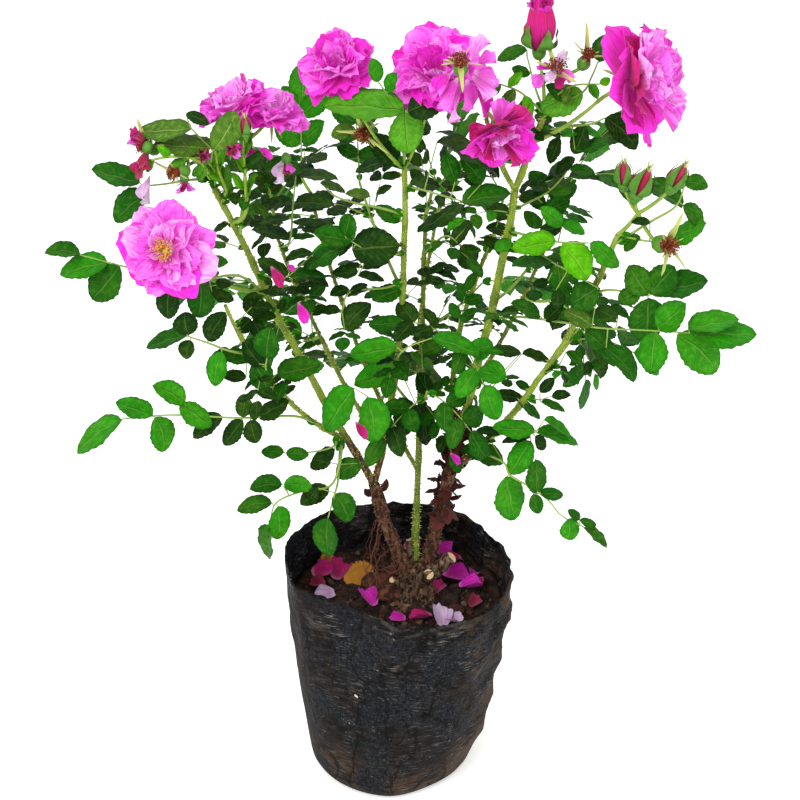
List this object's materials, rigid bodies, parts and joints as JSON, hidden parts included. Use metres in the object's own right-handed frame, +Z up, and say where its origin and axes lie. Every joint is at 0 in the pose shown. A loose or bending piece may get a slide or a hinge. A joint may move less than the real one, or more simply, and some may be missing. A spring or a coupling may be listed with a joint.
{
  "type": "potted rose bush",
  "caption": "Young rose bush with upright canes, compound leaves, ruffled pink blooms, buds and hips, standing in a soft black nursery grow bag filled with soil.",
  "frame": {"origin": "on the flat underside of the grow bag, below the middle of its rim", "axes": "+X to the right and +Y to the back seen from the front of the bush, +Z up along its canes"},
  "size_m": [0.4982, 0.3092, 0.6229],
  "materials": {
    "bag": "matte",
    "soil": "matte",
    "bark": "matte",
    "green_cane": "satin",
    "foliage": "satin"
  },
  "bodies": {
    "root": {"grow_bag": "bag", "soil": "soil", "root_crown": "bark", "cane_left": "bark", "cane_right": "bark", "cane_middle": "green_cane", "cane_back": "green_cane", "cane_left_tall": "green_cane", "cane_centre": "green_cane", "cane_left_low": "green_cane", "cane_thin": "green_cane", "cane_right_main": "green_cane", "cane_right_inner": "green_cane", "cane_right_low": "green_cane", "shoot_right_top": "green_cane", "shoot_pink": "green_cane", "cane_back_left": "green_cane", "cane_back_right": "green_cane", "leaves_bloom_left": "foliage", "leaves_top_left": "foliage", "leaves_twin_blooms": "foliage", "leaves_left_low_tip": "foliage", "leaves_left_low_upper": "foliage", "leaves_low_left_spray": "foliage", "leaves_drooping_left": "foliage", "leaves_front_centre": "foliage", "leaves_left_back": "foliage", "leaves_thin_tip": "foliage", "leaves_thin_low": "foliage", "leaves_centre_top_left": "foliage", "leaves_centre_top_right": "foliage", "leaves_centre_back": "foliage", "leaves_centre_front": "foliage", "leaves_centre_upper": "foliage", "leaves_middle_tip": "foliage", "leaves_middle_low": "foliage", "leaves_inner_tip": "foliage", "leaves_inner_low": "foliage", "leaves_right_cross": "foliage", "leaves_right_front": "foliage", "leaves_right_back": "foliage", "leaves_right_side": "foliage", "leaves_bloom_right": "foliage", "leaves_bud_top": "foliage", "leaves_pink_hanging": "foliage", "leaves_low_right_tip": "foliage", "leaves_big_right": "foliage", "leaves_right_low_mid": "foliage", "leaves_right_small": "foliage", "leaves_low_right_spray": "foliage", "leaves_back_tip": "foliage", "leaves_back_mid": "foliage", "leaves_back_low": "foliage", "leaves_back_left_tip": "foliage", "leaves_back_left_mid": "foliage", "leaves_back_right_tip": "foliage", "leaves_back_right_mid": "foliage"}
  },
  "joints": []
}
